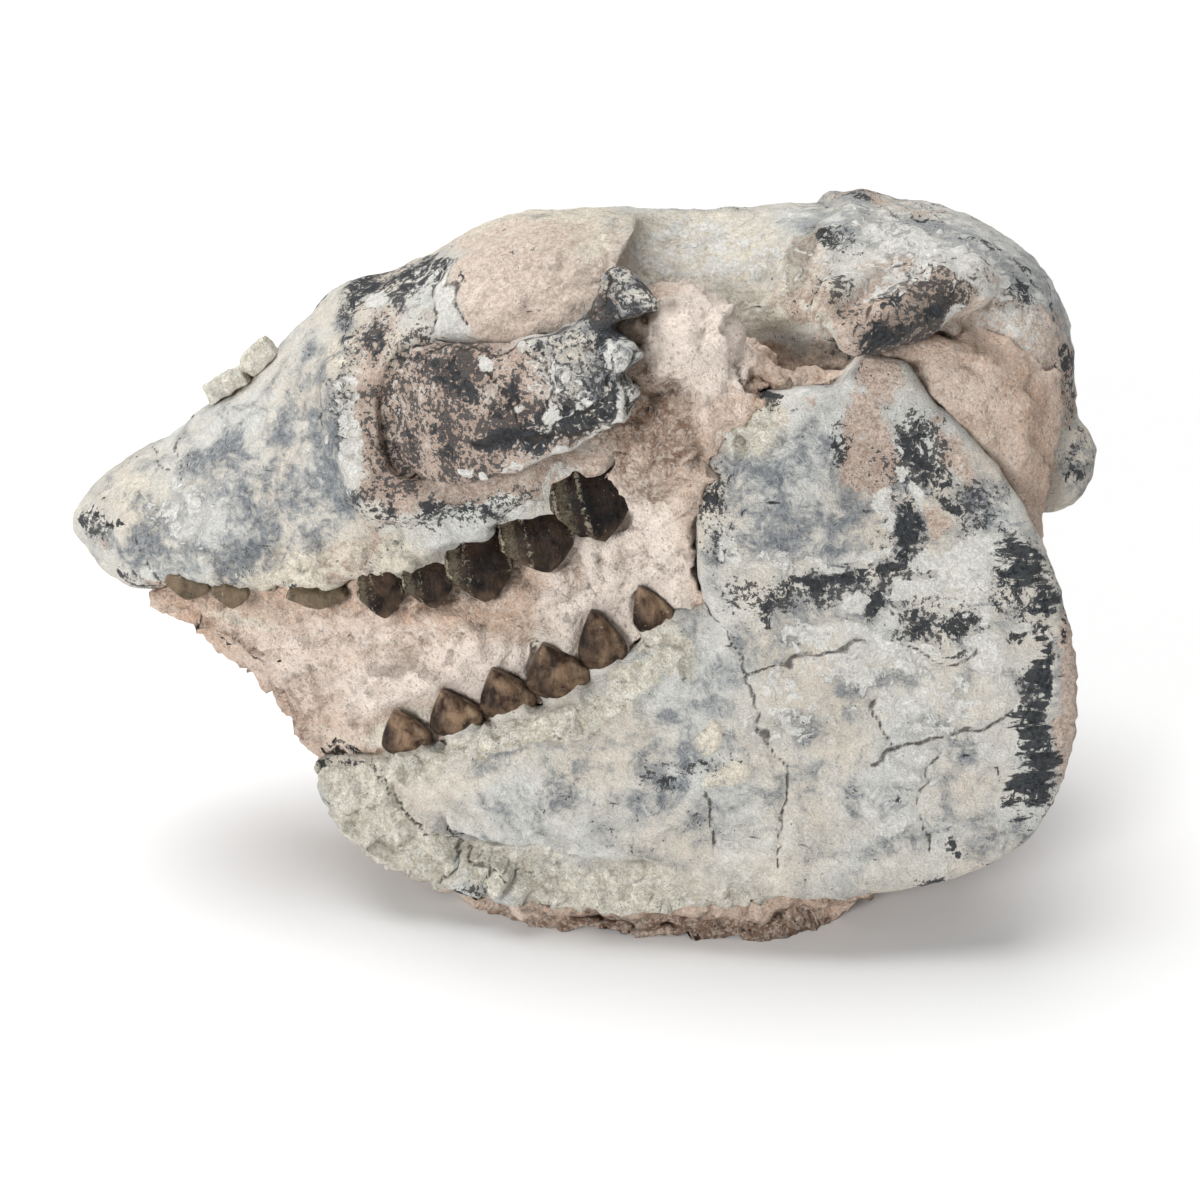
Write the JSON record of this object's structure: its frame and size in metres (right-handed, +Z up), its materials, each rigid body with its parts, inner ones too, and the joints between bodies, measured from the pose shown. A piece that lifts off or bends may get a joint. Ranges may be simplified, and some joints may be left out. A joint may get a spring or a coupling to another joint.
{
  "type": "fossil oreodont skull with lower jaw",
  "caption": "Fossil skull of a sheep-sized browsing mammal with its lower jaw, set in pink sandstone and leaning back on the stone's flat underside.",
  "frame": {"origin": "middle of the footprint on the surface that the specimen rests on", "axes": "+X from the snout to the nape, +Y away from the animal's left side, which faces the viewer, and +Z up; the skull's crown leans back toward +Y by 16 degrees"},
  "size_m": [0.1979, 0.1142, 0.13],
  "materials": {
    "bone": "matt, cream-white to blue-grey fossil bone with black mineral stains",
    "stained_bone": "matt, blue-black stained fossil bone with pale patches",
    "sandstone": "rough, fine-grained pinkish sandstone",
    "chalk": "rough, crumbly cream stone",
    "enamel": "glossy dark brown fossil enamel"
  },
  "bodies": {
    "root": {"snout": "bone", "forehead": "bone", "braincase": "bone", "occiput": "bone", "cheekbone_left": "stained_bone", "cheekbone_right": "stained_bone", "eye_socket_stone_left": "sandstone", "eye_socket_stone_right": "sandstone", "temple_process_left": "stained_bone", "temple_process_right": "stained_bone", "nape_condyle_left": "bone", "nape_condyle_right": "bone", "jaw_ramus_left": "bone", "jaw_ramus_right": "bone", "jaw_body_left": "bone", "jaw_body_right": "bone", "stone_crumb_front": "chalk", "stone_crumb_back": "chalk", "stone_front": "sandstone", "stone_middle": "sandstone", "stone_rear": "sandstone"}
  },
  "joints": []
}
